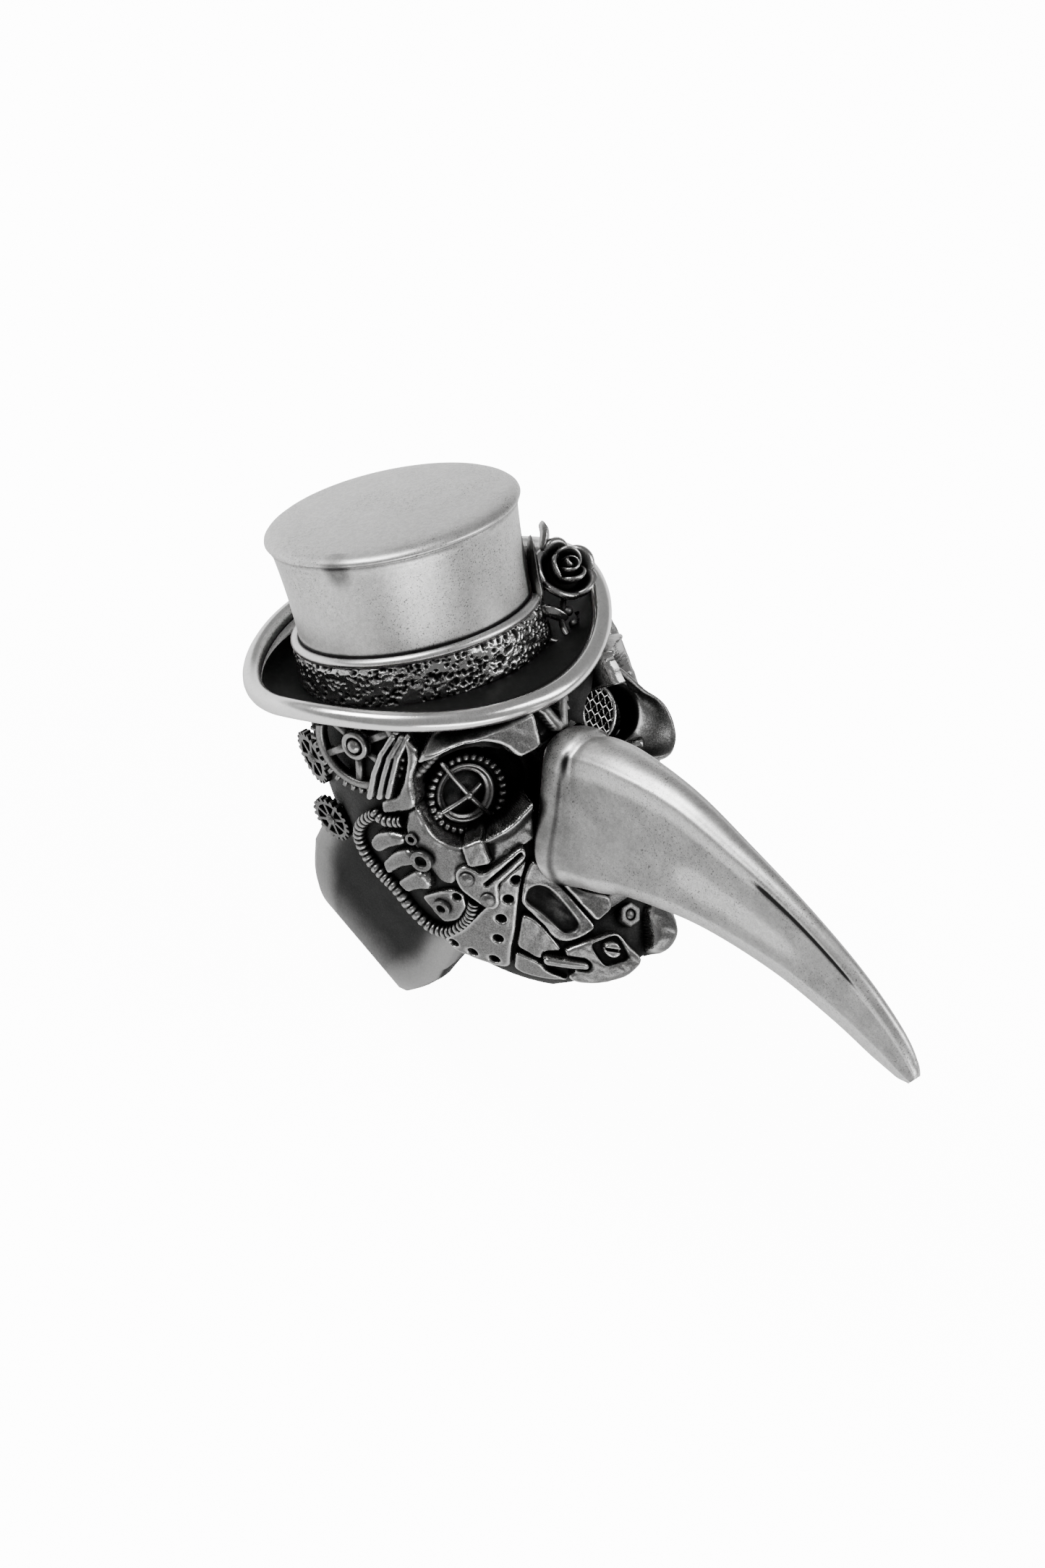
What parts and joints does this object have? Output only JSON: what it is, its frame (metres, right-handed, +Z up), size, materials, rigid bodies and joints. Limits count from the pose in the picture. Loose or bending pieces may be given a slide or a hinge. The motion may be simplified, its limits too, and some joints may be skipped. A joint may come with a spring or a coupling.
{
  "type": "mask ring",
  "caption": "Cast silver finger ring shaped as a plague-doctor mask with a long curved beak, a top hat with a rose, round goggle eyes, gears and hoses.",
  "frame": {"origin": "centre of the finger bore", "axes": "+Y along the finger towards the hand, beak towards -Y, +Z up from the finger through the head, +X towards the mask's own left"},
  "size_m": [0.0304, 0.0697, 0.0459],
  "materials": {
    "polished_silver": "polished sterling silver with faint speckle",
    "satin_silver": "satin sterling silver",
    "worn_relief_silver": "cast relief, oxidised and rubbed bright on the edges",
    "oxidised_silver": "blackened sterling silver in the recesses"
  },
  "bodies": {
    "root": {"beak": "polished_silver", "beak_collar": "polished_silver", "bracket_rivets": "worn_relief_silver", "breathing_hose_left": "worn_relief_silver", "breathing_hose_right": "worn_relief_silver", "bridge_pins": "worn_relief_silver", "brow_ridge_left": "worn_relief_silver", "brow_ridge_right": "worn_relief_silver", "cheek_ports": "worn_relief_silver", "cheek_rib_plates": "worn_relief_silver", "cheek_ring_plate_left": "worn_relief_silver", "cheek_ring_plate_right": "worn_relief_silver", "chin_links": "worn_relief_silver", "chin_nut": "worn_relief_silver", "chin_nut_stud": "worn_relief_silver", "chin_strap": "worn_relief_silver", "chin_wedges": "worn_relief_silver", "chin_window_plate_left": "worn_relief_silver", "chin_window_plate_right": "worn_relief_silver", "elbow_hose_left": "worn_relief_silver", "elbow_hose_right": "worn_relief_silver", "eye_bead_ring_left": "worn_relief_silver", "eye_cog_right": "worn_relief_silver", "eye_cross_right": "worn_relief_silver", "eye_cup_left": "oxidised_silver", "eye_cup_right": "oxidised_silver", "eye_dial_right": "worn_relief_silver", "eye_mesh_left": "worn_relief_silver", "eye_mesh_rim_left": "worn_relief_silver", "eye_scroll_left": "worn_relief_silver", "eye_studs": "worn_relief_silver", "hat_band": "oxidised_silver", "hat_band_wire": "polished_silver", "hat_brim": "polished_silver", "hat_crown": "polished_silver", "head_shell": "oxidised_silver", "hinge_bracket_left": "worn_relief_silver", "hinge_bracket_right": "worn_relief_silver", "jaw_plate_left": "worn_relief_silver", "jaw_plate_right": "worn_relief_silver", "nose_bridge": "worn_relief_silver", "orbit_plate_left": "worn_relief_silver", "orbit_plate_right": "worn_relief_silver", "rear_gears": "worn_relief_silver", "rose_bud": "worn_relief_silver", "rose_inner_petals": "worn_relief_silver", "rose_leaves": "worn_relief_silver", "rose_outer_petals": "worn_relief_silver", "rose_stem": "worn_relief_silver", "screw_plates": "worn_relief_silver", "shank": "satin_silver", "slotted_screws": "worn_relief_silver", "small_gears": "worn_relief_silver", "small_ports": "worn_relief_silver", "temple_beads": "worn_relief_silver", "temple_fins": "worn_relief_silver", "temple_gear_hubs": "worn_relief_silver", "temple_gear_left": "worn_relief_silver", "temple_gear_right": "worn_relief_silver"}
  },
  "joints": []
}
